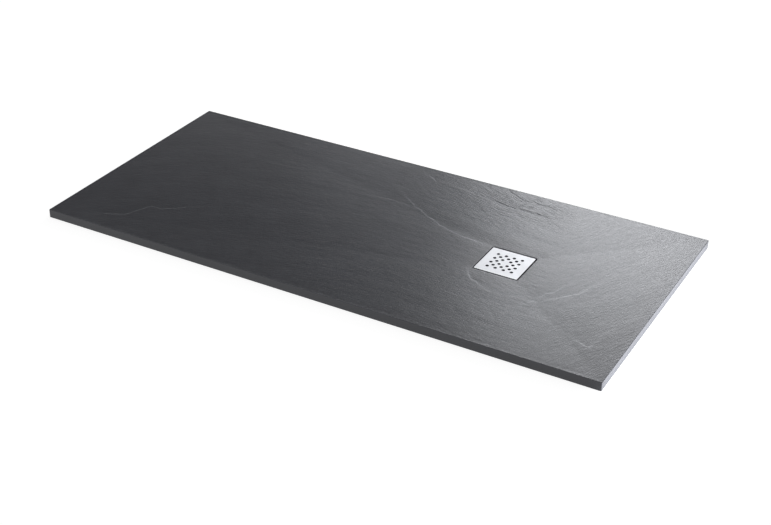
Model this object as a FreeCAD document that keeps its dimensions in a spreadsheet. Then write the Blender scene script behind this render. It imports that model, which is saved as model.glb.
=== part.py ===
import FreeCAD, Part
import Sketcher
import os
import re

# A low shower tray of cast mineral resin, with its square drain grate and the waste trap that
# hangs under it.  Millimetres.  The origin is the centre of the tray's underside, +X runs along
# the tray to the drain's end, +Y to the wall that the waste pipe leaves by, +Z is up.

# Every size that can be set by itself: name, value, what it measures.
SIZES = [
    ("tray_length", 1700, "outside length of the tray"),
    ("tray_width", 800, "outside width of the tray"),
    ("tray_thickness", 25, "height of the rim above the floor it is bedded on"),
    ("tray_corner", 2, "radius of the four upright corners"),
    ("edge_chamfer", 1.2, "chamfer round the top edge"),
    ("rim_width", 20, "level band that a screen stands on"),
    ("floor_fall", 4.5, "fall from the rim to the grate"),
    ("drain_from_centre", 410, "centre of the drain from the middle of the tray"),
    ("grate_size", 128, "side of the square grate"),
    ("grate_thickness", 2, "sheet of the grate"),
    ("grate_corner", 3, "corner radius of the grate"),
    ("grate_edge", 0.4, "broken edge round the grate's top"),
    ("grate_gap", 3, "gap round the grate in its recess"),
    ("hole_diameter", 9.6, "holes in the grate"),
    ("hole_pitch", 24, "spacing of the holes along a row"),
    ("recess_depth", 8, "depth of the grate's recess at its edge"),
    ("pad_size", 11, "side of the rubber pads under the grate"),
    ("pad_inset", 10, "pad centre from the grate's edges"),
    ("flange_margin", 6, "waste flange inside the grate's edge"),
    ("flange_land", 13, "flange's bearing on the tray, outside the waste hole"),
    ("flange_wall", 2, "wall of the waste flange"),
    ("flange_gasket", 1.5, "gasket between flange and tray"),
    ("gasket_margin", 0.5, "gaskets back from the edges that they seal"),
    ("pan_clearance", 1.5, "flange's pan inside the waste hole"),
    ("pan_stand_off", 4.5, "pan above the trap's flange once clamped"),
    ("screw_land", 11, "pan's floor between its wall and the throat"),
    ("throat_reach", 12, "throat below the pan"),
    ("body_gasket", 2, "gasket between tray and trap"),
    ("body_flange", 26, "width of the trap's flange"),
    ("body_flange_sheet", 4, "thickness of the trap's flange"),
    ("underside_recess_depth", 4, "recess under the tray for the trap's flange"),
    ("underside_recess_gap", 6, "recess outside the trap's flange"),
    ("bowl_clearance", 1, "bowl's mouth outside the waste hole"),
    ("bowl_wall", 3, "wall of the trap's bowl"),
    ("bowl_foot_bevel", 7, "bevel round the bowl's foot"),
    ("gusset_thickness", 3, "ribs under the trap's flange"),
    ("gusset_height", 11, "height of those ribs"),
    ("boss_width", 9, "bosses that the clamp screws go into"),
    ("boss_length", 20, "length of those bosses"),
    ("screw_diameter", 5, "clamp screws"),
    ("screw_hole_clearance", 0.25, "hole outside a screw, on radius"),
    ("cup_wall", 2, "wall of the siphon cup"),
    ("cup_lip", 2.5, "lip of the cup over the throat"),
    ("cup_lip_thickness", 2, "thickness of that lip"),
    ("ring_section", 2.6, "thickness of the cup's sealing ring"),
    ("ring_height", 5, "height of that ring"),
    ("ring_fit", 0.05, "running fit of the sealing ring, on radius"),
    ("bar_width", 3, "crossed bars in the cup's mouth that it is lifted by"),
    ("bar_depth", 6, "depth of those bars"),
    ("pipe_diameter", 40, "waste pipe that pushes into the outlet"),
    ("pipe_clearance", 0.15, "socket outside the pipe, on radius"),
    ("outlet_bore", 36, "bore of the outlet"),
    ("outlet_wall", 3, "wall of the outlet"),
    ("outlet_length", 26, "outlet beyond the trap's flange"),
    ("socket_depth", 22, "depth of the outlet's socket"),
    ("seal_mouth", 2.5, "cone in the outlet's mouth for the seal"),
    ("seal_thickness", 5, "rubber seal outside the mouth"),
    ("nut_clearance", 0.3, "nut outside the outlet, on radius"),
    ("nut_wall", 3.2, "wall of the nut"),
    ("nut_engagement", 17, "nut over the outlet"),
    ("nut_rib", 1.6, "height of the nut's grip ribs"),
    ("nut_rib_width", 4, "width of those ribs"),
    ("outlet_headroom", 3.5, "nut below the tray's underside"),
    ("water_seal", 26, "cup's foot below the outlet's invert"),
    ("sump_gap", 12, "bowl's bottom below the cup's foot"),
]

# Levels and radii that follow from the sizes above.
WORKED_OUT = {
    "floor_level": "tray_thickness - floor_fall",
    "recess_size": "grate_size + 2 * grate_gap",
    "seat_level": "floor_level - recess_depth",
    "grate_under": "floor_level - grate_thickness",
    "pad_place": "grate_size / 2 - pad_inset",
    "flange_radius": "grate_size / 2 - flange_margin",
    "flange_under": "seat_level + flange_gasket",
    "flange_top": "flange_under + flange_wall",
    "waste_hole": "flange_radius - flange_land",
    "pan_outer": "waste_hole - pan_clearance",
    "pan_inner": "pan_outer - flange_wall",
    "clamp_level": "underside_recess_depth - body_gasket",
    "pan_under": "clamp_level + pan_stand_off",
    "pan_top": "pan_under + flange_wall",
    "throat_outer": "pan_inner - screw_land",
    "throat_inner": "throat_outer - flange_wall",
    "throat_foot": "pan_under - throat_reach",
    "screw_circle": "(throat_outer + pan_inner) / 2",
    "screw_hole": "screw_diameter / 2 + screw_hole_clearance",
    "bowl_mouth": "waste_hole + bowl_clearance",
    "body_flange_outer": "bowl_mouth + body_flange",
    "body_flange_under": "clamp_level - body_flange_sheet",
    "underside_recess": "body_flange_outer + underside_recess_gap",
    "cup_tube": "throat_inner - ring_fit - ring_section",
    "cup_bore": "cup_tube - cup_wall",
    "cup_lip_outer": "throat_inner + cup_lip",
    "cup_top": "pan_top + cup_lip_thickness",
    "ring_outer": "throat_inner - ring_fit",
    "ring_foot": "pan_top - ring_height",
    "pipe_socket": "pipe_diameter / 2 + pipe_clearance",
    "outlet_outer": "pipe_socket + outlet_wall",
    "outlet_mouth": "body_flange_outer + outlet_length",
    "socket_floor": "outlet_mouth - socket_depth - seal_mouth",
    "nut_bore": "outlet_outer + nut_clearance",
    "nut_outer": "nut_bore + nut_wall",
    "nut_start": "outlet_mouth - nut_engagement",
    "seal_end": "outlet_mouth + seal_thickness",
    "nut_end": "seal_end + nut_wall",
    "outlet_drop": "nut_outer + nut_rib + outlet_headroom",
    "cup_foot": "-(outlet_drop + outlet_bore / 2 + water_seal)",
    "bowl_floor": "cup_foot - sump_gap",
    "bowl_under": "bowl_floor - bowl_wall",
    "bowl_mouth_outer": "bowl_mouth + bowl_wall",
}

HOLES_PER_QUARTER = [(1, 1), (3, 1), (1, 3), (3, 3), (2, 0), (2, 2)]  # in half pitches
CLAMP_SCREWS = 4
GUSSETS = 8
NUT_RIBS = 8
FIRST_SCREW = 45  # degrees, so that the screws stand clear of the outlet

doc = FreeCAD.newDocument("shower_tray")
sheet = doc.addObject("Spreadsheet::Sheet", "dims")
for row, (alias, number, note) in enumerate(SIZES, start=1):
    sheet.set(f"A{row}", str(number))
    sheet.set(f"B{row}", note)
    sheet.setAlias(f"A{row}", alias)
doc.recompute()

SHEET_NAMES = {alias for alias, number, note in SIZES}
pieces = []


def formula(text):
    """Spell out a formula so that it names only cells of the sheet."""

    def spell(match):
        name = match.group(0)
        if name in WORKED_OUT:
            return "(" + formula(WORKED_OUT[name]) + ")"
        if name in SHEET_NAMES:
            return "dims." + name
        return name

    return re.sub(r"[a-z_]+", spell, str(text))


def number(text):
    """The present value of a formula."""
    return float(sheet.evalExpression(formula(text).replace("dims.", "")))


def start(label):
    """A new piece; its name is also the name of its file."""
    body = doc.addObject("PartDesign::Body", label)
    body.Label = label
    pieces.append(body)
    return body


def stand_at_drain(body, turn=0):
    """Put a piece on the drain's axis, turned by so many degrees."""
    body.Placement.Rotation = FreeCAD.Rotation(FreeCAD.Vector(0, 0, 1), turn)
    body.setExpression("Placement.Base.x", formula("drain_from_centre"))


def lie_along_outlet(body):
    """Turn a piece so that its own Z axis lies along the outlet, towards +Y."""
    body.Placement.Rotation = FreeCAD.Rotation(FreeCAD.Vector(1, 0, 0), -90)
    body.setExpression("Placement.Base.x", formula("drain_from_centre"))
    body.setExpression("Placement.Base.z", formula("-outlet_drop"))


def plane_of(body, role):
    return [item for item in body.Origin.OriginFeatures if item.Role == role][0]


def sketch_on(body, name, role="XY_Plane", offset="0"):
    """An empty sketch on one of the piece's own planes, moved along its normal."""
    sketch = body.newObject("Sketcher::SketchObject", name)
    sketch.AttachmentSupport = (plane_of(body, role), [""])
    sketch.MapMode = "FlatFace"
    sketch.setExpression(".AttachmentOffset.Base.z", formula(offset))
    return sketch


def tie(sketch, constraint_start, text):
    """Add a dimension whose value is a formula."""
    index = sketch.addConstraint(Sketcher.Constraint(*constraint_start, number(text)))
    sketch.setExpression(f"Constraints[{index}]", formula(text))


def pin(sketch, edge, point, across, up):
    tie(sketch, ("DistanceX", -1, 1, edge, point), across)
    tie(sketch, ("DistanceY", -1, 1, edge, point), up)


def outline(sketch, corners):
    """A closed outline of straight sides; each corner is a pair of formulas."""
    points = [FreeCAD.Vector(number(across), number(up), 0) for across, up in corners]
    first = sketch.GeometryCount
    count = len(points)
    for place, point in enumerate(points):
        sketch.addGeometry(Part.LineSegment(point, points[(place + 1) % count]), False)
    for place in range(count):
        after = first + (place + 1) % count
        sketch.addConstraint(Sketcher.Constraint("Coincident", first + place, 2, after, 1))
    for place, (across, up) in enumerate(corners):
        pin(sketch, first + place, 1, across, up)


def rectangle(sketch, left, low, right, high):
    outline(sketch, [(left, low), (right, low), (right, high), (left, high)])


def square(sketch, size):
    half = f"({size}) / 2"
    rectangle(sketch, f"-{half}", f"-{half}", half, half)


def circle(sketch, radius, across="0", up="0"):
    centre = FreeCAD.Vector(number(across), number(up), 0)
    round_edge = Part.Circle(centre, FreeCAD.Vector(0, 0, 1), number(radius))
    index = sketch.addGeometry(round_edge, False)
    tie(sketch, ("Radius", index), radius)
    pin(sketch, index, 3, across, up)


def finish_step(body, feature, before, adds):
    """Rebuild, and make sure that the step added or removed material as it should."""
    body.Tip = feature
    doc.recompute()
    after = feature.Shape.Volume
    if adds != (after > before):
        raise RuntimeError(f"{body.Label}: {feature.Name} left {after:.1f} of {before:.1f} mm3")
    return feature


def volume_of(body):
    doc.recompute()
    if body.Tip is None or body.Tip.isDerivedFrom("Sketcher::SketchObject"):
        return 0.0
    return body.Tip.Shape.Volume


def pad(body, name, sketch, length, backwards=False):
    before = volume_of(body)
    feature = body.newObject("PartDesign::Pad", name)
    feature.Profile = sketch
    feature.setExpression("Length", formula(length))
    feature.Reversed = backwards
    return finish_step(body, feature, before, adds=True)


def pocket(body, name, sketch, depth, backwards=False):
    """Cut along the sketch's normal; a pocket goes down into the piece unless it is turned."""
    before = volume_of(body)
    feature = body.newObject("PartDesign::Pocket", name)
    feature.Profile = sketch
    feature.setExpression("Length", formula(depth))
    feature.Reversed = backwards
    return finish_step(body, feature, before, adds=False)


def revolve(body, name, sketch):
    before = volume_of(body)
    feature = body.newObject("PartDesign::Revolution", name)
    feature.Profile = sketch
    feature.ReferenceAxis = (sketch, ["V_Axis"])
    return finish_step(body, feature, before, adds=True)


def groove(body, name, sketch):
    before = volume_of(body)
    feature = body.newObject("PartDesign::Groove", name)
    feature.Profile = sketch
    feature.ReferenceAxis = (sketch, ["V_Axis"])
    return finish_step(body, feature, before, adds=False)


def repeat_round(body, name, steps, count, adds):
    """Copies of one or more steps, evenly round the piece's own Z axis."""
    before = volume_of(body)
    pattern = body.newObject("PartDesign::PolarPattern", name)
    pattern.Originals = steps
    pattern.Axis = (plane_of(body, "Z_Axis"), [""])
    pattern.Angle = 360
    pattern.Occurrences = count
    return finish_step(body, pattern, before, adds)


def edges_where(feature, wanted):
    """Names of the edges for which wanted(edge) is true."""
    return [f"Edge{place}" for place, edge in enumerate(feature.Shape.Edges, start=1) if wanted(edge)]


def dress(body, kind, name, feature, wanted, size):
    """A fillet or chamfer on the chosen edges."""
    step = body.newObject(kind, name)
    step.Base = (feature, edges_where(feature, wanted))
    step.setExpression("Radius" if kind.endswith("Fillet") else "Size", formula(size))
    body.Tip = step
    doc.recompute()
    return step


def is_upright(edge):
    box = edge.BoundBox
    return max(box.XLength, box.YLength) < 0.001


def lies_at(level):
    """A test for edges that lie flat at a level."""

    def test(edge):
        box = edge.BoundBox
        return abs(box.ZMax - level) < 0.001 and abs(box.ZMin - level) < 0.001

    return test


def is_circle_at(level, radius):
    """A test for full circles of a radius at a level."""
    flat = lies_at(level)

    def test(edge):
        return flat(edge) and hasattr(edge.Curve, "Radius") and abs(edge.Curve.Radius - radius) < 0.001

    return test


def make_tray_body():
    """Cast slab whose floor falls four ways to the grate's recess."""
    body = start("tray_body")
    blank = sketch_on(body, "tray_plan")
    half_length = "tray_length / 2"
    half_width = "tray_width / 2"
    rectangle(blank, f"-{half_length}", f"-{half_width}", half_length, half_width)
    slab = pad(body, "tray_slab", blank, "tray_thickness")
    corners = dress(body, "PartDesign::Fillet", "tray_corners", slab, is_upright, "tray_corner")
    at_top = lies_at(number("tray_thickness"))
    dress(body, "PartDesign::Chamfer", "tray_top_edge", corners, at_top, "edge_chamfer")

    half = "recess_size / 2"
    near = f"drain_from_centre - {half}"
    far = f"drain_from_centre + {half}"
    before = volume_of(body)
    falls = body.newObject("PartDesign::SubtractiveWedge", "four_way_fall")
    falls.AttachmentSupport = (plane_of(body, "XY_Plane"), [""])
    falls.MapMode = "FlatFace"
    falls.AttachmentOffset.Rotation = FreeCAD.Rotation(FreeCAD.Vector(1, 0, 0), 90)
    corners_of_the_fall = {
        "Ymin": "floor_level",
        "Xmin": near,
        "Xmax": far,
        "Zmin": f"-{half}",
        "Zmax": half,
        "Ymax": "tray_thickness",
        "X2min": "rim_width - tray_length / 2",
        "X2max": "tray_length / 2 - rim_width",
        "Z2min": "rim_width - tray_width / 2",
        "Z2max": "tray_width / 2 - rim_width",
    }
    for corner, text in corners_of_the_fall.items():
        setattr(falls, corner, number(text))
        falls.setExpression(corner, formula(text))
    finish_step(body, falls, before, adds=False)

    recess_line = sketch_on(body, "recess_line", offset="tray_thickness")
    rectangle(recess_line, near, f"-{half}", far, half)
    recess = pocket(body, "grate_recess", recess_line, "tray_thickness - seat_level")
    drain_x = number("drain_from_centre")
    reach = number("recess_size") / 2 + 0.001

    def is_recess_corner(edge):
        box = edge.BoundBox
        beside = abs(box.Center.x - drain_x) < reach and abs(box.Center.y) < reach
        return is_upright(edge) and beside

    dress(body, "PartDesign::Fillet", "recess_corners", recess, is_recess_corner,
          "grate_corner + grate_gap")

    hole_line = sketch_on(body, "waste_hole_line", offset="tray_thickness")
    circle(hole_line, "waste_hole", "drain_from_centre")
    pocket(body, "waste_hole_cut", hole_line, "tray_thickness")
    under_line = sketch_on(body, "underside_recess_line")
    circle(under_line, "underside_recess", "drain_from_centre")
    pocket(body, "underside_recess_cut", under_line, "underside_recess_depth", backwards=True)


def make_drain_grate():
    """Flat stainless plate; one quarter's holes are cut and then repeated round the centre."""
    body = start("drain_grate")
    plan = sketch_on(body, "grate_plan", offset="grate_under")
    square(plan, "grate_size")
    plate = pad(body, "grate_plate", plan, "grate_thickness")
    corners = dress(body, "PartDesign::Fillet", "grate_corners", plate, is_upright, "grate_corner")
    at_top = lies_at(number("floor_level"))
    dress(body, "PartDesign::Chamfer", "grate_broken_edge", corners, at_top, "grate_edge")
    quarter = sketch_on(body, "grate_holes_plan", offset="floor_level")
    for across, up in HOLES_PER_QUARTER:
        circle(quarter, "hole_diameter / 2", f"hole_pitch / 2 * {across}", f"hole_pitch / 2 * {up}")
    holes = pocket(body, "quarter_holes", quarter, "grate_thickness")
    repeat_round(body, "all_holes", [holes], 4, adds=False)
    stand_at_drain(body)


def make_grate_pads():
    """Rubber pads under the grate's corners, which stand on the recess's floor."""
    body = start("grate_pads")
    plan = sketch_on(body, "pad_plan", offset="seat_level")
    rectangle(plan, "pad_place - pad_size / 2", "pad_place - pad_size / 2",
              "pad_place + pad_size / 2", "pad_place + pad_size / 2")
    one = pad(body, "pad", plan, "grate_under - seat_level")
    repeat_round(body, "all_pads", [one], 4, adds=True)
    stand_at_drain(body)


def make_waste_flange():
    """Moulded flange: a land on the tray, a pan through its hole and a throat for the cup."""
    body = start("waste_flange")
    profile = sketch_on(body, "flange_profile", "XZ_Plane")
    outline(profile, [
        ("throat_inner", "throat_foot"),
        ("throat_outer", "throat_foot"),
        ("throat_outer", "pan_under"),
        ("pan_outer", "pan_under"),
        ("pan_outer", "flange_under"),
        ("flange_radius", "flange_under"),
        ("flange_radius", "flange_top"),
        ("pan_inner", "flange_top"),
        ("pan_inner", "pan_top"),
        ("throat_inner", "pan_top"),
    ])
    revolve(body, "flange_turned", profile)
    seats = sketch_on(body, "screw_holes_plan", offset="pan_top")
    circle(seats, "screw_hole", "screw_circle", "0")
    hole = pocket(body, "screw_hole_cut", seats, "flange_wall")
    repeat_round(body, "screw_holes_round", [hole], CLAMP_SCREWS, adds=False)
    stand_at_drain(body, FIRST_SCREW)


def make_ring(label, name, inner, outer, low, high):
    """A flat ring on the drain's axis."""
    body = start(label)
    profile = sketch_on(body, name, "XZ_Plane")
    rectangle(profile, inner, low, outer, high)
    revolve(body, f"{name}_turned", profile)
    stand_at_drain(body)


def make_flange_gasket():
    make_ring("flange_gasket", "upper_gasket", "waste_hole + gasket_margin",
              "flange_radius - gasket_margin", "seat_level", "flange_under")


def make_body_gasket():
    make_ring("body_gasket", "lower_gasket", "bowl_mouth + gasket_margin",
              "body_flange_outer - gasket_margin", "clamp_level", "underside_recess_depth")


def make_trap_body():
    """Moulded bowl with flange, ribs, screw bosses and a side outlet with a socket."""
    body = start("trap_body")
    outside = sketch_on(body, "bowl_outside", "XZ_Plane")
    outline(outside, [
        ("0", "bowl_under"),
        ("bowl_mouth_outer", "bowl_under"),
        ("bowl_mouth_outer", "body_flange_under"),
        ("body_flange_outer", "body_flange_under"),
        ("body_flange_outer", "clamp_level"),
        ("0", "clamp_level"),
    ])
    blank = revolve(body, "bowl_blank", outside)
    outer_foot = is_circle_at(number("bowl_under"), number("bowl_mouth_outer"))
    dress(body, "PartDesign::Chamfer", "bowl_foot", blank, outer_foot, "bowl_foot_bevel")

    rib = sketch_on(body, "gusset_side", "XZ_Plane", offset="-gusset_thickness / 2")
    outline(rib, [
        ("bowl_mouth", "body_flange_under"),
        ("bowl_mouth", "body_flange_under - gusset_height"),
        ("bowl_mouth_outer", "body_flange_under - gusset_height"),
        ("body_flange_outer - gusset_thickness", "body_flange_under"),
    ])
    gusset = pad(body, "gusset", rib, "gusset_thickness")
    repeat_round(body, "gussets", [gusset], GUSSETS, adds=True)

    tube = sketch_on(body, "outlet_round", "XZ_Plane")
    circle(tube, "outlet_outer", "0", "-outlet_drop")
    pad(body, "outlet_tube", tube, "outlet_mouth", backwards=True)

    inside = sketch_on(body, "bowl_inside", "XZ_Plane")
    outline(inside, [
        ("0", "bowl_floor"),
        ("bowl_mouth - bowl_foot_bevel", "bowl_floor"),
        ("bowl_mouth", "bowl_floor + bowl_foot_bevel"),
        ("bowl_mouth", "clamp_level"),
        ("0", "clamp_level"),
    ])
    groove(body, "bowl_cavity", inside)

    boss_top = sketch_on(body, "boss_plan", offset="clamp_level")
    boss_top.AttachmentOffset.Rotation = FreeCAD.Rotation(FreeCAD.Vector(0, 0, 1), FIRST_SCREW)
    rectangle(boss_top, "screw_circle - boss_width / 2", "-boss_width / 2",
              "bowl_mouth + bowl_wall / 2", "boss_width / 2")
    boss = pad(body, "boss", boss_top, "boss_length", backwards=True)
    repeat_round(body, "bosses", [boss], CLAMP_SCREWS, adds=True)
    drill = sketch_on(body, "boss_holes", offset="clamp_level")
    drill.AttachmentOffset.Rotation = FreeCAD.Rotation(FreeCAD.Vector(0, 0, 1), FIRST_SCREW)
    circle(drill, "screw_diameter / 2", "screw_circle", "0")
    hole = pocket(body, "boss_hole", drill, "boss_length - bowl_wall")
    repeat_round(body, "boss_holes_round", [hole], CLAMP_SCREWS, adds=False)

    bore = sketch_on(body, "outlet_bore_line", "XZ_Plane")
    circle(bore, "outlet_bore / 2", "0", "-outlet_drop")
    pocket(body, "outlet_bore_cut", bore, "outlet_mouth")
    socket = sketch_on(body, "socket_line", "XZ_Plane", offset="-socket_floor")
    circle(socket, "pipe_socket", "0", "-outlet_drop")
    cut = pocket(body, "socket_cut", socket, "socket_depth + seal_mouth")

    def is_mouth(edge):
        box = edge.BoundBox
        at_mouth = abs(box.YMin - number("outlet_mouth")) < 0.001
        return at_mouth and abs(box.XLength - 2 * number("pipe_socket")) < 0.01

    dress(body, "PartDesign::Chamfer", "seal_cone", cut, is_mouth, "seal_mouth")
    stand_at_drain(body)


def make_siphon_cup():
    """Lift-out cup: its tube dips into the bowl's water, crossed bars keep hair out of it."""
    body = start("siphon_cup")
    profile = sketch_on(body, "cup_profile", "XZ_Plane")
    outline(profile, [
        ("cup_bore", "cup_foot"),
        ("cup_tube", "cup_foot"),
        ("cup_tube", "pan_top"),
        ("cup_lip_outer", "pan_top"),
        ("cup_lip_outer", "cup_top"),
        ("cup_bore", "cup_top"),
    ])
    revolve(body, "cup_turned", profile)
    bar_top = sketch_on(body, "bar_plan", offset="cup_top")
    rectangle(bar_top, "-(cup_bore + cup_wall / 2)", "-bar_width / 2",
              "cup_bore + cup_wall / 2", "bar_width / 2")
    bar = pad(body, "bar", bar_top, "bar_depth", backwards=True)
    repeat_round(body, "crossed_bars", [bar], 4, adds=True)
    stand_at_drain(body)


def make_cup_seal():
    """Rubber sleeve under the cup's lip, which seals it in the flange's throat."""
    body = start("cup_seal")
    profile = sketch_on(body, "ring_profile", "XZ_Plane")
    rectangle(profile, "cup_tube", "ring_foot", "ring_outer", "pan_top")
    revolve(body, "ring_turned", profile)
    stand_at_drain(body)


def make_outlet_seal():
    """Tapered rubber seal that the nut squeezes into the outlet's cone."""
    body = start("outlet_seal")
    profile = sketch_on(body, "seal_profile", "XZ_Plane")
    outline(profile, [
        ("pipe_socket", "outlet_mouth - seal_mouth"),
        ("outlet_outer", "outlet_mouth + outlet_wall - seal_mouth"),
        ("outlet_outer", "seal_end"),
        ("pipe_socket", "seal_end"),
    ])
    revolve(body, "seal_turned", profile)
    lie_along_outlet(body)


def make_outlet_nut():
    """Compression nut with grip ribs along its outside."""
    body = start("outlet_nut")
    profile = sketch_on(body, "nut_profile", "XZ_Plane")
    outline(profile, [
        ("nut_bore", "nut_start"),
        ("nut_outer", "nut_start"),
        ("nut_outer", "nut_end"),
        ("pipe_socket", "nut_end"),
        ("pipe_socket", "seal_end"),
        ("nut_bore", "seal_end"),
    ])
    revolve(body, "nut_turned", profile)
    rib_line = sketch_on(body, "rib_line", offset="nut_start")
    rectangle(rib_line, "nut_outer - nut_wall / 2", "-nut_rib_width / 2",
              "nut_outer + nut_rib", "nut_rib_width / 2")
    rib = pad(body, "rib", rib_line, "nut_end - nut_start")
    repeat_round(body, "ribs", [rib], NUT_RIBS, adds=True)
    lie_along_outlet(body)


make_tray_body()
make_drain_grate()
make_grate_pads()
make_waste_flange()
make_flange_gasket()
make_body_gasket()
make_trap_body()
make_siphon_cup()
make_cup_seal()
make_outlet_seal()
make_outlet_nut()
doc.recompute()

for item in doc.Objects:
    if "Invalid" in item.State or "Error" in item.State:
        raise RuntimeError(f"{item.Name} did not build: {item.State}")
for piece in pieces:
    if piece.Shape.isNull() or not piece.Shape.isValid():
        raise RuntimeError(f"{piece.Label} has no sound shape")

os.makedirs("parts", exist_ok=True)
for piece in pieces:
    piece.Shape.exportStep(f"parts/{piece.Label}.step")
    box = piece.Shape.optimalBoundingBox()
    print(f"{piece.Label:17s} {len(piece.Shape.Solids)} solids {piece.Shape.Volume:12.1f} mm3"
          f"  x {box.XMin:8.2f} {box.XMax:8.2f}  y {box.YMin:8.2f} {box.YMax:8.2f}"
          f"  z {box.ZMin:7.2f} {box.ZMax:7.2f}")
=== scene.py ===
# The looks of a slate-effect shower tray: the relief of its stone-like top, the finishes of its
# grate and waste, and the studio that it stands in.  Sizes are metres unless a name says mm.
import math

import bmesh
import bpy
import numpy as np
from mathutils import Matrix, Vector, noise


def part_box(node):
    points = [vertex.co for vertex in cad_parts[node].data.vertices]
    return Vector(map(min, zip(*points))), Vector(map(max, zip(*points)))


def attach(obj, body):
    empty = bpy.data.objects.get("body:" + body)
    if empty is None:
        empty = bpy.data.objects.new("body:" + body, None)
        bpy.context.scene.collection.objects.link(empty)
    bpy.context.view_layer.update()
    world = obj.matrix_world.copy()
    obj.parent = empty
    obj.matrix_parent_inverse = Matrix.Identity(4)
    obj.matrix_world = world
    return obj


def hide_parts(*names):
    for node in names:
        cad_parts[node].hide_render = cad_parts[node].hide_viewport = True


bl_info = {
    "name": "Slate-effect shower tray",
    "version": (1, 0, 0),
    "blender": (4, 5, 0),
    "location": "View3D > Sidebar > Shower tray",
    "description": "Builds the tray's stone relief, finishes its waste and sets up the studio",
    "category": "Object",
}

MM = 0.001

# How near two places are to count as one, and how squarely a face looks one way to count as
# facing it.
NEAR = 0.01 * MM
FACING = 0.9

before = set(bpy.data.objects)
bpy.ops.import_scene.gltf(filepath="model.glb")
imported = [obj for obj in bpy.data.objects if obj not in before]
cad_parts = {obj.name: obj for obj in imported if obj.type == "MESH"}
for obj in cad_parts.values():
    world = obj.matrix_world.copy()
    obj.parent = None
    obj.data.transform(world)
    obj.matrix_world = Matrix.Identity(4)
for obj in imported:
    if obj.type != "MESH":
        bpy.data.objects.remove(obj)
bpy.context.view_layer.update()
TRAY_LOW, TRAY_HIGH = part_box("tray_body")
GRATE_LOW, GRATE_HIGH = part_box("drain_grate")
GASKET_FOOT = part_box("flange_gasket")[0].z
CUP_SEAL_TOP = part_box("cup_seal")[1].z
BODY_GASKET_LOW, BODY_GASKET_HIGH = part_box("body_gasket")
DRAIN = (GRATE_LOW + GRATE_HIGH) / 2

# The photograph's frame in pixels, and the camera that its corners and grate were solved for.
PHOTO_WIDTH = 771
CAMERA_PLACE = (1.7309, -3.1118, 1.9907)
CAMERA_FOCUS_PX = 1431.9
CAMERA_AXIS_PX = 355.0
CAMERA_YAW = math.radians(-29.92)
CAMERA_PITCH = math.radians(30.43)
CAMERA_ROLL = math.radians(0.385)
SENSOR_WIDTH_MM = 36.0

# The softboxes and the strip light: where each stands, what it faces, its width and its height.
BACK_LIGHT = ((-0.14, 2.6, 1.345), (-0.14, 0, 1.345), 1.18, 0.36)
LOW_LIGHT = ((-0.48, 2.6, 0.96), (-0.48, 0, 0.96), 2.58, 0.41)
END_LIGHT = ((0.88, 0, 0.0105), (0.85, 0, 0.0105), 0.82, 0.018)

# The black card behind the tray's far end.
CARD_WIDTH, CARD_HEIGHT = 4.6, 3.2
CARD_RIGHT, CARD_BACK, CARD_FOOT = -0.75, 2.5, 1.03

# The glow that makes the floor just white to the camera where nothing shades it, and how far the
# floor lies under the tray.
FLOOR_GLOW = 0.83
FLOOR_DROP = 0.2 * MM

# The grain of the slate bends along the tray: where, over what length, by how much its slope
# turns.  Past the drain it gives way to grain that runs nearly across the tray.
GRAIN_SLOPE = 0.60
GRAIN_BENDS = [(-0.62, 0.06, -0.38), (0.08, 0.10, -0.45), (0.50, 0.04, 0.40)]
GRAIN_LEAN = 0.25
GRAIN_SPREAD = 0.30
GRAIN_SPREAD_LENGTH = 0.50
END_GRAIN_TURN = math.radians(66)
END_GRAIN_START = 0.50
END_GRAIN_BLEND = 0.12

# The place behind the drain where the slate is roughest: its centre, how far it reaches each way,
# and how much higher the relief and deeper the grain are there.  Last, the grain of the sides.
ROUGH_BAND = (0.30, 0.32)
ROUGH_BAND_REACH = (0.20, 0.09)
ROUGH_BAND_EXTRA = 1.2
ROUGH_BAND_GRAIN = 1.8
SIDE_GRAIN = 0.4

# The levels at which each pattern cuts through the noise, so that no two are alike.
SWAY_LEVELS = (31.0, 43.0)
WAVE_LEVEL, SWELL_LEVEL, FINE_LEVEL, LEAF_LEVEL = 0.0, 5.0, 9.0, 17.0

# Lines where a leaf of the slate broke off, in millimetres on the tray's top, from left to right:
# height of the break, how far it takes to die away, how strong the painted highlight along its
# edge is, and its points, which run so that the ground is lower on their right.
CLEFTS = [
    (0.4, 50, 0.5, [(-530, -195), (-575, -230), (-610, -230), (-645, -310), (-695, -335)]),
    (0.3, 40, 0.3, [(20, 160), (-35, 165), (-65, 160)]),
    (0.25, 80, 0.5, [(290, 70), (210, 82), (160, 100), (130, 120), (100, 130), (75, 150), (45, 165),
                     (0, 200)]),
    (0.3, 12, 0.4, [(25, 335), (0, 350)]),
    (0.5, 14, 0.3, [(240, 310), (305, 297), (355, 300), (400, 295)]),
    (0.5, 10, 0.3, [(250, 385), (295, 360), (315, 355)]),
    (0.4, 10, 0.2, [(345, 358), (385, 350)]),
    (0.25, 60, 0.6, [(385, -130), (365, -120), (350, -104), (345, -92)]),
    (0.3, 50, 0.5, [(595, -40), (585, -75), (570, -90), (560, -125), (545, -165)]),
    (0.4, 50, 0.6, [(660, -5), (655, -20), (645, -50), (630, -65), (610, -90)]),
    (0.1, 50, 0.2, [(590, -165), (575, -200), (565, -235)]),
    (0.1, 50, 0.2, [(645, -145), (630, -180), (615, -210)]),
    (0.3, 50, 0.5, [(770, -245), (765, -270), (755, -272), (740, -265)]),
]


def linear(text):
    """An sRGB colour, written as six hex digits, as the linear RGBA that Blender works in."""
    shades = []
    for place in (0, 2, 4):
        shade = int(text[place:place + 2], 16) / 255
        shades.append(shade / 12.92 if shade <= 0.04045 else ((shade + 0.055) / 1.055) ** 2.4)
    return (*shades, 1.0)


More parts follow.
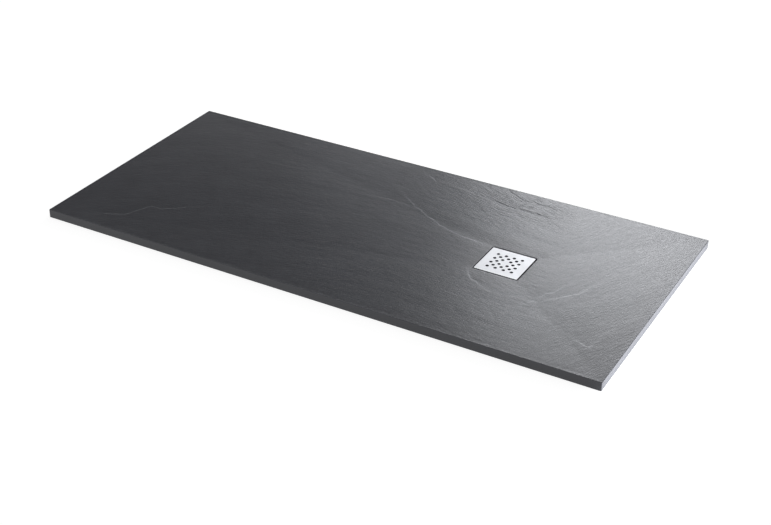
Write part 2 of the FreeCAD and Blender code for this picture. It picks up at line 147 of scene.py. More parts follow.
class ShowerTraySettings(bpy.types.PropertyGroup):
    """Sizes and colours of the tray that a user may change."""

    chamfer: bpy.props.FloatProperty(
        name="Top chamfer", description="Chamfer round the top edge",
        default=1.2 * MM, unit="LENGTH")
    corner: bpy.props.FloatProperty(
        name="Corner", description="Radius of the four upright corners",
        default=2 * MM, unit="LENGTH")
    rim: bpy.props.FloatProperty(
        name="Rim", description="Level band round the top",
        default=20 * MM, unit="LENGTH")
    grate_gap: bpy.props.FloatProperty(
        name="Grate gap", description="Gap between the grate and its recess",
        default=3 * MM, unit="LENGTH")
    recess_corner: bpy.props.FloatProperty(
        name="Recess corner", description="Corner radius of the grate's recess",
        default=6 * MM, unit="LENGTH")
    recess_lip: bpy.props.FloatProperty(
        name="Recess lip", description="Softened edge round the grate's recess",
        default=1.3 * MM, unit="LENGTH")
    waste_hole: bpy.props.FloatProperty(
        name="Waste hole", description="Hole through the tray",
        default=90 * MM, unit="LENGTH")
    under_gap: bpy.props.FloatProperty(
        name="Underside gap", description="Recess under the tray outside the lower gasket",
        default=6.5 * MM, unit="LENGTH")
    cell: bpy.props.FloatProperty(
        name="Mesh cell", description="Spacing of the mesh that carries the relief",
        default=4.8 * MM, unit="LENGTH")
    ripple_height: bpy.props.FloatProperty(
        name="Ripple height", description="Height of the slate's ripples",
        default=0.18 * MM, unit="LENGTH")
    ripple_spacing: bpy.props.FloatProperty(
        name="Ripple spacing", description="Distance across the grain from ripple to ripple",
        default=13 * MM, unit="LENGTH")
    leaf_height: bpy.props.FloatProperty(
        name="Leaf height", description="Step from one leaf of the slate to the next",
        default=0.22 * MM, unit="LENGTH")
    slate_colour: bpy.props.FloatVectorProperty(
        name="Slate", description="Colour of the slate-effect gel coat", subtype="COLOR",
        size=4, min=0, max=1, default=linear("3D3E43"))
    steel_colour: bpy.props.FloatVectorProperty(
        name="Steel", description="Colour of the stainless steel", subtype="COLOR",
        size=4, min=0, max=1, default=linear("C4C5C7"))


class StudioSettings(bpy.types.PropertyGroup):
    """Sizes and strengths of the studio."""

    floor_size: bpy.props.FloatProperty(
        name="Floor", description="Width of the studio's floor", default=40, unit="LENGTH")
    fill: bpy.props.FloatProperty(
        name="Fill", description="Strength of the light from all round", default=0.44, min=0)
    back_light: bpy.props.FloatProperty(
        name="Back light", description="Brightness of the softbox behind the tray",
        default=14.8, min=0)
    low_light: bpy.props.FloatProperty(
        name="Low light", description="Brightness of the long softbox under the back light",
        default=2.3, min=0)
    end_light: bpy.props.FloatProperty(
        name="End light", description="Brightness of the strip light along the drain's end",
        default=17.0, min=0)


# Blender helpers


def deselect_all():
    """Leave edit mode and select nothing."""
    if bpy.context.object and bpy.context.object.mode != "OBJECT":
        bpy.ops.object.mode_set(mode="OBJECT")
    bpy.ops.object.select_all(action="DESELECT")


def only(piece):
    """Select one object alone and make it the active one."""
    deselect_all()
    piece.select_set(True)
    bpy.context.view_layer.objects.active = piece


def choose(kind, wanted):
    """In edit mode, select only the vertices, edges or faces for which wanted(element) is true."""
    bpy.ops.mesh.select_mode(type=kind)
    bpy.ops.mesh.select_all(action="DESELECT")
    shell = bmesh.from_edit_mesh(bpy.context.object.data)
    elements = {"VERT": shell.verts, "EDGE": shell.edges, "FACE": shell.faces}[kind]
    for element in elements:
        if wanted(element):
            element.select_set(True)
    shell.select_flush_mode()
    bmesh.update_edit_mesh(bpy.context.object.data)


def settle(piece):
    """Put the object's place and scale into its mesh."""
    only(piece)
    bpy.ops.object.transform_apply(location=True, rotation=True, scale=True)


def named(name):
    """The object that an operator has just made, under its piece's name."""
    piece = bpy.context.object
    piece.name = name
    piece.data.name = name
    return piece


def vertex_places(mesh):
    """The places of a mesh's vertices, one to a row."""
    places = np.empty(len(mesh.vertices) * 3)
    mesh.vertices.foreach_get("co", places)
    return places.reshape(-1, 3)


def cut(piece, cutter):
    """Take the cutter's shape out of the piece."""
    only(piece)
    bpy.ops.object.modifier_add(type="BOOLEAN")
    step = piece.modifiers[-1]
    step.operation = "DIFFERENCE"
    step.solver = "EXACT"
    step.object = cutter
    bpy.ops.object.modifier_apply(modifier=step.name)
    bpy.data.objects.remove(cutter)


def cylinder(name, radius, low, high, centre=DRAIN, sides=96):
    """An upright cylinder between two levels."""
    deselect_all()
    bpy.ops.mesh.primitive_cylinder_add(
        vertices=sides, radius=radius, depth=high - low,
        location=(centre[0], centre[1], (low + high) / 2))
    piece = named(name)
    settle(piece)
    return piece


def finish_piece(piece, body, material, angle=30):
    """Faces outward, smooth where the surface is, one material, riding on its body."""
    only(piece)
    bpy.ops.object.mode_set(mode="EDIT")
    bpy.ops.mesh.select_all(action="SELECT")
    bpy.ops.mesh.normals_make_consistent(inside=False)
    bpy.ops.object.mode_set(mode="OBJECT")
    bpy.ops.object.shade_smooth_by_angle(angle=math.radians(angle))
    piece.data.materials.clear()
    piece.data.materials.append(material)
    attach(piece, body)


# Materials


def node(tree, kind, inputs=None, **settings):
    """Add a node, set it, and feed its sockets with values or with other nodes' outputs."""
    made = tree.nodes.new(kind)
    for name, value in settings.items():
        setattr(made, name, value)
    for socket, value in (inputs or {}).items():
        if isinstance(value, bpy.types.NodeSocket):
            tree.links.new(value, made.inputs[socket])
        else:
            made.inputs[socket].default_value = value
    return made


def blank_material(name):
    """A material with nothing but its output, and its node tree."""
    material = bpy.data.materials.new(name)
    material.use_nodes = True
    tree = material.node_tree
    tree.nodes.clear()
    return material, tree


def surface(tree, shader):
    """Give the material's surface to a shader."""
    node(tree, "ShaderNodeOutputMaterial", {"Surface": shader})


def spots(tree, place, size_mm, detail=2.0, stretch=(1, 1, 1)):
    """Cloudy noise whose features are about so many millimetres wide, stretched along an axis."""
    scale = [1 / (size_mm * MM * factor) for factor in stretch]
    mapped = node(tree, "ShaderNodeMapping", {"Vector": place, "Scale": scale})
    return node(tree, "ShaderNodeTexNoise",
                {"Vector": mapped.outputs[0], "Scale": 1.0, "Detail": detail}).outputs["Fac"]


def shade_between(tree, amount, dark, light):
    """A colour between two by an amount from 0 to 1."""
    mix = node(tree, "ShaderNodeMix", {"Factor": amount, "A": dark, "B": light}, data_type="RGBA")
    return mix.outputs["Result"]


def spread(tree, value, low, high):
    """Noise, most of which lies in a narrow band, brought to a range."""
    usual_low, usual_high = 0.3, 0.7
    return node(tree, "ShaderNodeMapRange", {
        "Value": value, "From Min": usual_low, "From Max": usual_high,
        "To Min": low, "To Max": high,
    }).outputs["Result"]


def bump(tree, height, depth_mm, before=None):
    """Small relief of so many millimetres, on top of relief that came before."""
    inputs = {"Height": height, "Distance": depth_mm * MM, "Strength": 1.0}
    if before:
        inputs["Normal"] = before
    return node(tree, "ShaderNodeBump", inputs).outputs["Normal"]


def tinted(colour, factor):
    """A darker or lighter shade of a colour."""
    return (*[min(1.0, shade * factor) for shade in colour[:3]], 1.0)


def gel_coat_slate(colour):
    """Pigmented polyester gel coat, cast in a mould that was taken from riven slate.

    The mould gives it the fine grain of the stone.  The coat itself is satin, with a dull sheen
    that follows the ripples, and its pigment is slightly cloudy.
    """
    material, tree = blank_material("gel_coat_slate")
    here = node(tree, "ShaderNodeTexCoord").outputs["Object"]
    grain_place = node(tree, "ShaderNodeUVMap", uv_map="grain").outputs["UV"]
    end_place = node(tree, "ShaderNodeUVMap", uv_map="end_grain").outputs["UV"]
    cloud = spots(tree, here, size_mm=70, detail=3)
    shade = shade_between(tree, spread(tree, cloud, 0, 1),
                          dark=tinted(colour, 0.93), light=tinted(colour, 1.08))
    # Along the edge where a leaf of the slate broke off, the colour is lighter: a painted
    # highlight.
    edge = node(tree, "ShaderNodeAttribute", attribute_name="cleft_highlight_mask").outputs["Fac"]
    flecks = spots(tree, here, size_mm=12, detail=3)
    edge = node(tree, "ShaderNodeMath", {0: edge, 1: spread(tree, flecks, -0.3, 1.1)},
                operation="MULTIPLY", use_clamp=True)
    shade = shade_between(tree, edge.outputs[0], shade, linear("85878F"))
    # Streaks of grain 5 mm wide and pits of 3 mm: both drawn coarser than the real grain of
    # about 1 mm, which would not show.  The streaks are deeper in the rough place behind the drain.
    at_end = node(tree, "ShaderNodeAttribute", attribute_name="end_share").outputs["Fac"]
    depth = node(tree, "ShaderNodeAttribute", attribute_name="grain_depth").outputs["Fac"]
    streaks = node(tree, "ShaderNodeMix", {
        "Factor": at_end,
        "A": spots(tree, grain_place, size_mm=5, detail=1, stretch=(4, 1, 1)),
        "B": spots(tree, end_place, size_mm=5, detail=1, stretch=(4, 1, 1)),
    }, data_type="FLOAT").outputs["Result"]
    cracks = node(tree, "ShaderNodeMath", {0: streaks, 1: depth}, operation="MULTIPLY")
    shallow = node(tree, "ShaderNodeMath", {0: depth, 1: 1.0}, operation="MINIMUM")
    pits = spots(tree, here, size_mm=3, detail=0)
    pits = node(tree, "ShaderNodeMath", {0: pits, 1: shallow.outputs[0]}, operation="MULTIPLY")
    relief = bump(tree, cracks.outputs[0], depth_mm=0.33)
    relief = bump(tree, pits.outputs[0], depth_mm=0.15, before=relief)
    principled = node(tree, "ShaderNodeBsdfPrincipled", {
        "Base Color": shade,
        "Roughness": spread(tree, streaks, low=0.31, high=0.36),
        "IOR": 1.5,
        "Normal": relief,
    })
    surface(tree, principled.outputs[0])
    return material


def brushed_stainless(name, colour, painted_shade_level):
    """Stainless steel, brushed on top: streaks in the polish, satin highlights.

    Below the brushed skin, in the punched holes and round the sheared edge, the colour is darkened
    to a tenth of the steel's: painted shade.
    """
    material, tree = blank_material(name)
    here = node(tree, "ShaderNodeTexCoord").outputs["Object"]
    # Brush lines 0.8 mm apart, drawn coarser than the real 0.1 mm so that they show.
    lines = spots(tree, here, size_mm=0.8, detail=2, stretch=(40, 1, 1))
    cloud = spots(tree, here, size_mm=25)
    brushed = shade_between(tree, lines, dark=tinted(colour, 0.95), light=tinted(colour, 1.03))
    level = node(tree, "ShaderNodeSeparateXYZ", {"Vector": here}).outputs["Z"]
    skin = node(tree, "ShaderNodeMath", {0: level, 1: painted_shade_level}, operation="GREATER_THAN")
    # Below the skin the colour falls to a tenth: painted shade in the holes and on the edge.
    principled = node(tree, "ShaderNodeBsdfPrincipled", {
        "Base Color": shade_between(
            tree, skin.outputs[0], dark=tinted(colour, 0.1), light=brushed),
        "Metallic": 1.0,
        "Roughness": spread(tree, cloud, low=0.50, high=0.56),
        "Normal": bump(tree, lines, depth_mm=0.008),
    })
    surface(tree, principled.outputs[0])
    return material


def black_seal_rubber():
    """Moulded EPDM: matt near-black with a faint grey bloom and a fine moulded skin."""
    material, tree = blank_material("black_seal_rubber")
    here = node(tree, "ShaderNodeTexCoord").outputs["Object"]
    bloom = spots(tree, here, size_mm=9, detail=3)
    skin = spots(tree, here, size_mm=0.7)
    principled = node(tree, "ShaderNodeBsdfPrincipled", {
        "Base Color": shade_between(tree, bloom, linear("1B1B1C"), linear("2B2B2D")),
        "Roughness": spread(tree, bloom, low=0.6, high=0.8),
        "IOR": 1.5,
        "Normal": bump(tree, skin, depth_mm=0.03),
    })
    surface(tree, principled.outputs[0])
    return material


def moulded_polypropylene(name, dark, light):
    """Injection-moulded polypropylene: slightly waxy satin, with faint clouding from the melt."""
    material, tree = blank_material(name)
    here = node(tree, "ShaderNodeTexCoord").outputs["Object"]
    flow_marks = spots(tree, here, size_mm=18, detail=2, stretch=(1, 1, 3))
    skin = spots(tree, here, size_mm=0.6)
    principled = node(tree, "ShaderNodeBsdfPrincipled", {
        "Base Color": shade_between(tree, flow_marks, linear(dark), linear(light)),
        "Roughness": spread(tree, flow_marks, low=0.34, high=0.44),
        "IOR": 1.49,
        "Normal": bump(tree, skin, depth_mm=0.015),
    })
    surface(tree, principled.outputs[0])
    return material


# The slab


def grain(x, y):
    """How far a point lies along and across the slate's grain, whose lines bend and fan out."""
    bent = GRAIN_SLOPE * x
    for at, width, turn in GRAIN_BENDS:
        bent = bent + turn * width * np.logaddexp(0, (x + GRAIN_LEAN * y - at) / width)
    fanned = 1 + GRAIN_SPREAD * np.tanh(x / GRAIN_SPREAD_LENGTH)
    return x + GRAIN_LEAN * y, y * fanned - bent


def end_grain(x, y):
    """How far a point lies along and across the grain of the drain's end."""
    cos, sin = math.cos(END_GRAIN_TURN), math.sin(END_GRAIN_TURN)
    return x * cos + y * sin, y * cos - x * sin


def end_share(x, y):
    """How far the slate has gone over to its end's grain at each point, from 0 to 1."""
    share = np.clip((x + GRAIN_LEAN * y - END_GRAIN_START) / END_GRAIN_BLEND, 0, 1)
    return share * share * (3 - 2 * share)


def rough_share(x, y):
    """How much of the extra roughness behind the drain each point has, from 0 to 1."""
    return np.exp(-((x - ROUGH_BAND[0]) / ROUGH_BAND_REACH[0]) ** 2
                  - ((y - ROUGH_BAND[1]) / ROUGH_BAND_REACH[1]) ** 2)


def strayed(x, y):
    """The points moved a little to and fro, so that a straight line drawn over them is ragged."""
    sway = 2.2 * MM
    spacing = 14 * MM
    moved_x = np.empty_like(x)
    moved_y = np.empty_like(y)
    level_x, level_y = SWAY_LEVELS
    for place, (u, v) in enumerate(zip(x, y)):
        moved_x[place] = u + sway * noise.noise(Vector((u / spacing, v / spacing, level_x)))
        moved_y[place] = v + sway * noise.noise(Vector((u / spacing, v / spacing, level_y)))
    return moved_x, moved_y


def nearest_on(line, x, y):
    """Each point's distance to a broken line, and whether it lies to its left (1) or right (-1)."""
    points = [Vector(point) * MM for point in line]
    nearest = np.full_like(x, 1.0)
    side = np.zeros_like(x)
    for start, end in zip(points, points[1:]):
        run = end - start
        share = ((x - start.x) * run.x + (y - start.y) * run.y) / run.length_squared
        share = np.clip(share, 0, 1)
        off_x = x - start.x - share * run.x
        off_y = y - start.y - share * run.y
        distance = np.hypot(off_x, off_y)
        closer = distance < nearest
        nearest = np.where(closer, distance, nearest)
        side = np.where(closer, np.sign(run.x * off_y - run.y * off_x), side)
    return nearest, side


def cleft_depths(x, y):
    """How far the broken-off leaves lower each point: a sharp step that dies away to one side."""
    sharpness = 1.3 * MM
    x, y = strayed(x, y)
    depths = np.zeros_like(x)
    for height_mm, reach_mm, _, line in CLEFTS:
        nearest, side = nearest_on(line, x, y)
        step = 0.5 - 0.5 * np.tanh(side * nearest / sharpness)
        depths += height_mm * MM * step * np.exp(-nearest / (reach_mm * MM))
    return depths


def cleft_highlights(x, y):
    """How strong the painted highlight along a leaf's broken edge is at each point, from 0 to 1."""
    width = 1.0 * MM
    x, y = strayed(x, y)
    edge_highlights = np.zeros_like(x)
    for _, _, pale, line in CLEFTS:
        nearest, _ = nearest_on(line, x, y)
        edge_highlights = np.maximum(edge_highlights, pale * np.exp(-(nearest / width) ** 2))
    return edge_highlights


def ripple_depths(along, across, size):
    """The ripples and the broken leaves of slate whose grain runs this way.

    Broad swells bend the waves, fine waves lie on them, and each leaf ends in a steep step.
    """
    swell_long, swell_wide, swell_bend = 0.22, 0.07, 1.5
    wave_long, wave_wide = 7 * size.ripple_spacing, size.ripple_spacing
    fine_long, fine_wide, fine_height = 0.05, 1.25 * size.ripple_spacing, 0.5
    leaf_long, leaf_wide, leaf_count, leaf_sharpness = 0.25, 0.06, 3, 5
    depths = np.empty_like(along)
    for place, (u, v) in enumerate(zip(along, across)):
        swell = noise.noise(Vector((u / swell_long, v / swell_wide, SWELL_LEVEL)))
        bent = v / wave_wide + swell_bend * swell
        wave = noise.noise(Vector((u / wave_long, bent, WAVE_LEVEL)))
        fine = noise.noise(Vector((u / fine_long, v / fine_wide + swell, FINE_LEVEL)))
        leaf = noise.noise(Vector((u / leaf_long, v / leaf_wide, LEAF_LEVEL)))
        leaf = leaf_count * (leaf + 1)
        whole = math.floor(leaf)
        part = min(1.0, (leaf - whole) * leaf_sharpness)
        leaf = whole + part * part * (3 - 2 * part)
        depths[place] = (
            size.ripple_height * (0.5 + 0.5 * wave)
            + size.ripple_height * fine_height * (0.5 + 0.5 * fine)
            + size.leaf_height / leaf_count * (2 * leaf_count - leaf)
        )
    return depths


def relief_depths(x, y, size):
    """How far the stone relief lies below the plain top, at each point."""
    ripples = ripple_depths(*grain(x, y), size)
    end_ripples = ripple_depths(*end_grain(x, y), size)
    ripples += end_share(x, y) * (end_ripples - ripples)
    return ripples * (1 + ROUGH_BAND_EXTRA * rough_share(x, y)) + cleft_depths(x, y)


def fall_depths(x, y, size):
    """How far the floor has fallen below the rim, at each point."""
    half = (GRATE_HIGH.x - GRATE_LOW.x) / 2 + size.grate_gap
    right = (x - DRAIN.x - half) / (TRAY_HIGH.x - size.rim - DRAIN.x - half)
    left = (DRAIN.x - half - x) / (DRAIN.x - half - TRAY_LOW.x - size.rim)
    across = (np.abs(y) - half) / (TRAY_HIGH.y - size.rim - half)
    share = np.clip(np.maximum(np.maximum(left, right), across), 0, 1)
    return (TRAY_HIGH.z - GRATE_HIGH.z) * (1 - share)


def cast_slab(size):
    """A fine grid over the top, drawn down over the chamfer and the sides, then pressed."""
    outer = TRAY_HIGH - TRAY_LOW
    inner = outer - Vector((2 * size.chamfer, 2 * size.chamfer, 0))
    deselect_all()
    bpy.ops.mesh.primitive_grid_add(
        x_subdivisions=round(inner.x / size.cell), y_subdivisions=round(inner.y / size.cell),
        size=1, location=(0, 0, TRAY_HIGH.z))
    slab = named("slate_slab")
    slab.scale = (inner.x, inner.y, 1)
    settle(slab)
    bpy.ops.object.mode_set(mode="EDIT")
    shell = bmesh.from_edit_mesh(slab.data)
    middles = np.array([face.calc_center_median() for face in shell.faces])
    beside = np.zeros(len(middles), dtype=bool)
    fine_reach = 1.5 * size.cell
    for _, _, _, line in CLEFTS:
        beside |= nearest_on(line, middles[:, 0], middles[:, 1])[0] < fine_reach
    choose("FACE", lambda face: beside[face.index])
    bpy.ops.mesh.subdivide(number_cuts=2, ngon=False)
    choose("EDGE", lambda edge: edge.is_boundary)
    bpy.ops.mesh.extrude_region_move(TRANSFORM_OT_translate={"value": (0, 0, -size.chamfer)})
    bpy.ops.transform.resize(value=(outer.x / inner.x, outer.y / inner.y, 1))
    side = outer.z - size.chamfer
    bpy.ops.mesh.extrude_region_move(TRANSFORM_OT_translate={"value": (0, 0, -side)})
    bpy.ops.mesh.edge_face_add()

    def is_corner(edge):
        low, high = sorted((vert.co for vert in edge.verts), key=lambda place: place.z)
        at_corner = abs(low.x) > outer.x / 2 - NEAR and abs(low.y) > outer.y / 2 - NEAR
        return at_corner and high.z - low.z > size.chamfer / 2

    choose("EDGE", is_corner)
    bpy.ops.mesh.bevel(offset=size.corner, segments=4, affect="EDGES")
    bpy.ops.object.mode_set(mode="OBJECT")

    mesh = slab.data
    places = vertex_places(mesh)
    top = places[:, 2] > TRAY_HIGH.z - NEAR
    x, y = places[top, 0], places[top, 1]
    to_edge = np.minimum(outer.x / 2 - np.abs(x), outer.y / 2 - np.abs(y)) - size.chamfer
    edge_band, at_edge = 9 * MM, 0.15
    strength = at_edge + (1 - at_edge) * np.clip(to_edge / edge_band, 0, 1)
    places[top, 2] -= fall_depths(x, y, size) + strength * relief_depths(x, y, size)
    mesh.vertices.foreach_set("co", places.ravel())
    mesh.update()
    return slab


def recess_cutter(size):
    """The grate's recess, with rounded corners and a lip that rolls over at the top."""
    half = (GRATE_HIGH.x - GRATE_LOW.x) / 2 + size.grate_gap
    foot = GRATE_HIGH.z - size.recess_lip
    deselect_all()
    bpy.ops.mesh.primitive_cube_add(
        size=1, location=(DRAIN.x, DRAIN.y, (GASKET_FOOT + foot) / 2))
    cutter = named("recess_cutter")
    cutter.scale = (2 * half, 2 * half, foot - GASKET_FOOT)
    settle(cutter)
    bpy.ops.object.mode_set(mode="EDIT")
    choose("EDGE", lambda edge: abs(edge.verts[0].co.z - edge.verts[1].co.z) > MM)
    bpy.ops.mesh.bevel(offset=size.recess_corner, segments=6, affect="EDGES")
    choose("FACE", lambda face: face.normal.z > FACING)
    # Each course of the lip rises by a share of its size and leans out by another share of it.
    for rise, lean in ((0.3, 0.15), (0.3, 0.5), (0.8, 2.4), (8.0, 0.0)):
        bpy.ops.mesh.extrude_region_move(
            TRANSFORM_OT_translate={"value": (0, 0, rise * size.recess_lip)})
        wider = 1 + lean * size.recess_lip / half
        bpy.ops.transform.resize(value=(wider, wider, 1), center_override=(DRAIN.x, DRAIN.y, 0))
    bpy.ops.object.mode_set(mode="OBJECT")
    return cutter


def grain_depths(x, y):
    """How deep the fine grain is at each point: most behind the drain, least on the sides."""
    side = np.maximum(np.abs(x) - TRAY_HIGH.x, np.abs(y) - TRAY_HIGH.y) > -MM
    return np.where(side, SIDE_GRAIN, 1 + ROUGH_BAND_GRAIN * rough_share(x, y))


def mark_grain(slab):
    """Keep both grains' own coordinates on the mesh, for the material to follow."""
    mesh = slab.data
    for layer in list(mesh.uv_layers):
        mesh.uv_layers.remove(layer)
    corners = np.empty(len(mesh.loops), dtype=np.int32)
    mesh.loops.foreach_get("vertex_index", corners)
    places = vertex_places(mesh)[corners]
    for name, way in (("grain", grain), ("end_grain", end_grain)):
        along, across = way(places[:, 0], places[:, 1])
        layer = mesh.uv_layers.new(name=name)
        layer.data.foreach_set("uv", np.column_stack((along, across - places[:, 2])).ravel())


def mark_shares(slab):
    """Keep on the mesh the clefts' painted highlight, deep grain and end grain, for the material.
    """
    mesh = slab.data
    places = vertex_places(mesh)
    top = places[:, 2] > GRATE_LOW.z
    for name, on_top, elsewhere in (("cleft_highlight_mask", cleft_highlights, 0), ("end_share", end_share, 0),
                                    ("grain_depth", grain_depths, SIDE_GRAIN)):
        layer = mesh.attributes.new(name, "FLOAT", "POINT")
        values = np.where(top, on_top(places[:, 0], places[:, 1]), elsewhere)
        layer.data.foreach_set("value", values)


class SHOWERTRAY_OT_slab(bpy.types.Operator):
    """Cast the slab: its fall to the drain, its slate relief, the grate's recess and the holes"""

    bl_idname = "shower_tray.slab"
    bl_label = "Cast the slab"

    def execute(self, context):
        size = context.scene.shower_tray
        slab = cast_slab(size)
        cut(slab, recess_cutter(size))
        beyond = 10 * MM
        cut(slab, cylinder("hole_cutter", size.waste_hole / 2, TRAY_LOW.z - beyond,
                           TRAY_HIGH.z + beyond))
        under = (BODY_GASKET_HIGH.x - BODY_GASKET_LOW.x) / 2 + size.under_gap
        cut(slab, cylinder("under_cutter", under, TRAY_LOW.z - beyond, BODY_GASKET_HIGH.z))
        mark_grain(slab)
        mark_shares(slab)
        finish_piece(slab, "tray", gel_coat_slate(size.slate_colour), angle=35)
        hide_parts("tray_body")
        return {"FINISHED"}


class SHOWERTRAY_OT_screws(bpy.types.Operator):
    """Put in the four screws that clamp the flange to the trap"""

    bl_idname = "shower_tray.screws"
    bl_label = "Put in the clamp screws"

    def execute(self, context):
        size = context.scene.shower_tray
        ring = 36 * MM
        head, head_height, head_round = 4.25 * MM, 3 * MM, 0.7 * MM
        shank, shank_length = 2.4 * MM, 20 * MM
        socket, socket_depth = 1.7 * MM, 1.6 * MM
        level = CUP_SEAL_TOP
        screws = []
        for quarter in range(4):
            turn = math.radians(45 + 90 * quarter)
            centre = (DRAIN.x + ring * math.cos(turn), DRAIN.y + ring * math.sin(turn))
            screw = cylinder("clamp_screws", head, level, level + head_height, centre, sides=32)
            bpy.ops.object.mode_set(mode="EDIT")
            choose("EDGE", lambda edge: all(vert.co.z > level + head_height / 2
                                            for vert in edge.verts))
            bpy.ops.mesh.bevel(offset=head_round, segments=3, affect="EDGES")
            choose("FACE", lambda face: face.normal.z < -FACING)
            bpy.ops.mesh.inset(thickness=head - shank)
            bpy.ops.mesh.extrude_region_move(
                TRANSFORM_OT_translate={"value": (0, 0, -shank_length)})
            bpy.ops.object.mode_set(mode="OBJECT")
            key = cylinder("key_cutter", socket, level + head_height - socket_depth,
                           level + head_height + MM, centre, sides=6)
            cut(screw, key)
            screws.append(screw)
        deselect_all()
        for screw in screws:
            screw.select_set(True)
        context.view_layer.objects.active = screws[0]
        bpy.ops.object.join()
        # Below the head, the shank's steel gets painted shade.
        steel = brushed_stainless("turned_stainless", size.steel_colour, level)
        finish_piece(screws[0], "tray", steel)
        return {"FINISHED"}


class SHOWERTRAY_OT_finishes(bpy.types.Operator):
    """Give the grate, the flange, the seals and the trap their finishes"""

    bl_idname = "shower_tray.finishes"
    bl_label = "Finish the grate and the waste"

    def execute(self, context):
        size = context.scene.shower_tray
        # Below this skin, in the grate's holes and on its edge, the steel gets painted shade.
        skin = 0.3 * MM
        painted_shade_level = GRATE_HIGH.z - skin
        steel = brushed_stainless("brushed_stainless_sheet", size.steel_colour, painted_shade_level)
        rubber = black_seal_rubber()
        white = moulded_polypropylene("white_polypropylene_moulding", "E4E4E1", "EEEEEC")
        black = moulded_polypropylene("black_polypropylene_moulding", "161617", "1E1E20")
        finishes = {
            "drain_grate": steel,
            "waste_flange": black,
            "grate_pads": rubber,
            "flange_gasket": rubber,
            "body_gasket": rubber,
            "cup_seal": rubber,
            "outlet_seal": rubber,
            "trap_body": white,
            "outlet_nut": white,
            "siphon_cup": black,
        }
        for name, material in finishes.items():
            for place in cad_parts[name].material_slots:
                place.material = material
        return {"FINISHED"}


# The studio


def is_seen(tree):
    """1 where the camera looks, also in a polish or through glass, and 0 where light falls."""
    rays = node(tree, "ShaderNodeLightPath")
    seen = node(tree, "ShaderNodeMath", {
        0: rays.outputs["Is Camera Ray"], 1: rays.outputs["Is Glossy Ray"]}, operation="MAXIMUM")
    seen = node(tree, "ShaderNodeMath", {
        0: seen.outputs[0], 1: rays.outputs["Is Transmission Ray"]}, operation="MAXIMUM")
    return seen.outputs[0]


def white_floor():
    """Seamless white paper: white to the camera, dulled only where the tray shades it.

    It can't be seen from below, so that the trap can.
    """
    material, tree = blank_material("white_paper_floor")
    paper = node(tree, "ShaderNodeBsdfDiffuse", {"Color": linear("F2F2F2")})
    shaded = node(tree, "ShaderNodeBsdfDiffuse", {"Color": linear("A8A8A8")})
    glow = node(tree, "ShaderNodeEmission", {"Color": (1, 1, 1, 1), "Strength": FLOOR_GLOW})
    both = node(tree, "ShaderNodeAddShader", {0: shaded.outputs[0], 1: glow.outputs[0]})
    facing = node(tree, "ShaderNodeMixShader", {
        "Fac": is_seen(tree), 1: paper.outputs[0], 2: both.outputs[0]})
    under = node(tree, "ShaderNodeBsdfTransparent")
    back = node(tree, "ShaderNodeNewGeometry").outputs["Backfacing"]
    floor = node(tree, "ShaderNodeMixShader", {
        "Fac": back, 1: facing.outputs[0], 2: under.outputs[0]})
    surface(tree, floor.outputs[0])
    return material


def white_world(fill):
    """White behind the tray and in its polish, with only so much light on it."""
    world = bpy.data.worlds.new("white_studio")
    bpy.context.scene.world = world
    world.use_nodes = True
    tree = world.node_tree
    tree.nodes.clear()
    strength = node(tree, "ShaderNodeMapRange", {
        "Value": is_seen(tree), "To Min": fill, "To Max": 1.0})
    light = node(tree, "ShaderNodeBackground", {
        "Color": (1, 1, 1, 1), "Strength": strength.outputs["Result"]})
    node(tree, "ShaderNodeOutputWorld", {"Surface": light.outputs[0]})


def softbox(name, place, target, width, height, brightness):
    """A flat lamp of even brightness that faces its target and isn't seen itself."""
    lamp = bpy.data.lights.new(name, "AREA")
    lamp.shape = "RECTANGLE"
    lamp.size = width
    lamp.size_y = height
    lamp.energy = brightness * math.pi * width * height
    lamp.color = linear("F8FAFF")[:3]
    lit = bpy.data.objects.new(name, lamp)
    bpy.context.scene.collection.objects.link(lit)
    lit.location = place
    lit.rotation_euler = (Vector(target) - Vector(place)).to_track_quat("-Z", "Y").to_euler()
    lit.visible_camera = False
    return lit


def black_flag():
    """A black card behind the tray's far end, which keeps the white out of its polish there."""
    material, tree = blank_material("black_card")
    surface(tree, node(tree, "ShaderNodeBsdfDiffuse", {"Color": (0, 0, 0, 1)}).outputs[0])
    deselect_all()
    bpy.ops.mesh.primitive_plane_add(
        size=1, rotation=(math.pi / 2, 0, 0),
        location=(CARD_RIGHT - CARD_WIDTH / 2, CARD_BACK, CARD_FOOT + CARD_HEIGHT / 2))
    card = named("black_card")
    card.scale = (CARD_WIDTH, CARD_HEIGHT, 1)
    settle(card)
    card.data.materials.append(material)
    card.visible_camera = False
    card.visible_diffuse = False
    card.visible_shadow = False


def photo_camera():
    """The camera at the photograph's angle."""
    sight = Vector((
        math.sin(CAMERA_YAW) * math.cos(CAMERA_PITCH),
        math.cos(CAMERA_YAW) * math.cos(CAMERA_PITCH),
        -math.sin(CAMERA_PITCH)))
    level_right = Vector((math.cos(CAMERA_YAW), -math.sin(CAMERA_YAW), 0))
    level_up = level_right.cross(sight)
    right = level_right * math.cos(CAMERA_ROLL) + level_up * math.sin(CAMERA_ROLL)
    up = level_up * math.cos(CAMERA_ROLL) - level_right * math.sin(CAMERA_ROLL)
    lens = bpy.data.cameras.new("photo_camera")
    lens.sensor_width = SENSOR_WIDTH_MM
    lens.lens = CAMERA_FOCUS_PX / PHOTO_WIDTH * SENSOR_WIDTH_MM
    lens.shift_x = (PHOTO_WIDTH / 2 - CAMERA_AXIS_PX) / PHOTO_WIDTH
    camera = bpy.data.objects.new("photo_camera", lens)
    bpy.context.scene.collection.objects.link(camera)
    turned = Matrix((right, up, -sight)).transposed().to_4x4()
    camera.matrix_world = Matrix.Translation(CAMERA_PLACE) @ turned
    bpy.context.scene.camera = camera


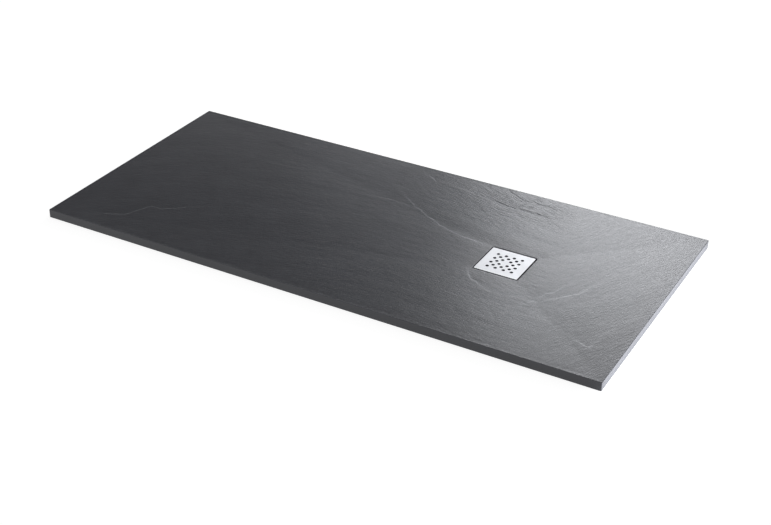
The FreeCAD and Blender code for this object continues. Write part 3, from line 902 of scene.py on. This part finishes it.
class SHOWERTRAY_OT_studio(bpy.types.Operator):
    """Set up the floor, the lamps and the camera"""

    bl_idname = "shower_tray.studio"
    bl_label = "Set up the studio"

    def execute(self, context):
        light = context.scene.shower_studio
        # The floor has an opening under the tray, which the trap hangs through.
        opening = (BODY_GASKET_HIGH.x - BODY_GASKET_LOW.x) / 2
        deselect_all()
        bpy.ops.mesh.primitive_circle_add(
            vertices=64, radius=opening, location=(DRAIN.x, DRAIN.y, TRAY_LOW.z - FLOOR_DROP))
        floor = named("floor")
        bpy.ops.object.mode_set(mode="EDIT")
        choose("EDGE", lambda edge: True)
        bpy.ops.mesh.extrude_edges_move()
        wider = light.floor_size / 2 / opening
        bpy.ops.transform.resize(value=(wider, wider, 1), center_override=(DRAIN.x, DRAIN.y, 0))
        choose("FACE", lambda face: face.normal.z < 0)
        bpy.ops.mesh.flip_normals()
        bpy.ops.object.mode_set(mode="OBJECT")
        settle(floor)
        floor.data.materials.append(white_floor())
        white_world(light.fill)
        softbox("back_light", *BACK_LIGHT, light.back_light)
        softbox("low_light", *LOW_LIGHT, light.low_light)
        # The strip close to the drain's end lies below the top, so that it lights that face alone.
        softbox("end_light", *END_LIGHT, light.end_light).visible_glossy = False
        black_flag()
        photo_camera()
        context.scene.view_settings.view_transform = "Standard"
        return {"FINISHED"}


class SHOWERTRAY_PT_panel(bpy.types.Panel):
    """Lists the tray's sizes, colours and steps"""

    bl_idname = "SHOWERTRAY_PT_panel"
    bl_label = "Shower tray"
    bl_space_type = "VIEW_3D"
    bl_region_type = "UI"
    bl_category = "Shower tray"

    def draw(self, context):
        layout = self.layout
        for group in (context.scene.shower_tray, context.scene.shower_studio):
            box = layout.box()
            for name in group.__annotations__:
                box.prop(group, name)
        for operator in OPERATORS:
            layout.operator(operator.bl_idname)


OPERATORS = (
    SHOWERTRAY_OT_slab,
    SHOWERTRAY_OT_screws,
    SHOWERTRAY_OT_finishes,
    SHOWERTRAY_OT_studio,
)
CLASSES = (ShowerTraySettings, StudioSettings, *OPERATORS, SHOWERTRAY_PT_panel)


def register():
    for item in CLASSES:
        bpy.utils.register_class(item)
    bpy.types.Scene.shower_tray = bpy.props.PointerProperty(type=ShowerTraySettings)
    bpy.types.Scene.shower_studio = bpy.props.PointerProperty(type=StudioSettings)


def unregister():
    del bpy.types.Scene.shower_studio
    del bpy.types.Scene.shower_tray
    for item in reversed(CLASSES):
        bpy.utils.unregister_class(item)


def main():
    register()
    bpy.ops.shower_tray.slab()
    bpy.ops.shower_tray.screws()
    bpy.ops.shower_tray.finishes()
    bpy.ops.shower_tray.studio()


if __name__ == "__main__":
    main()
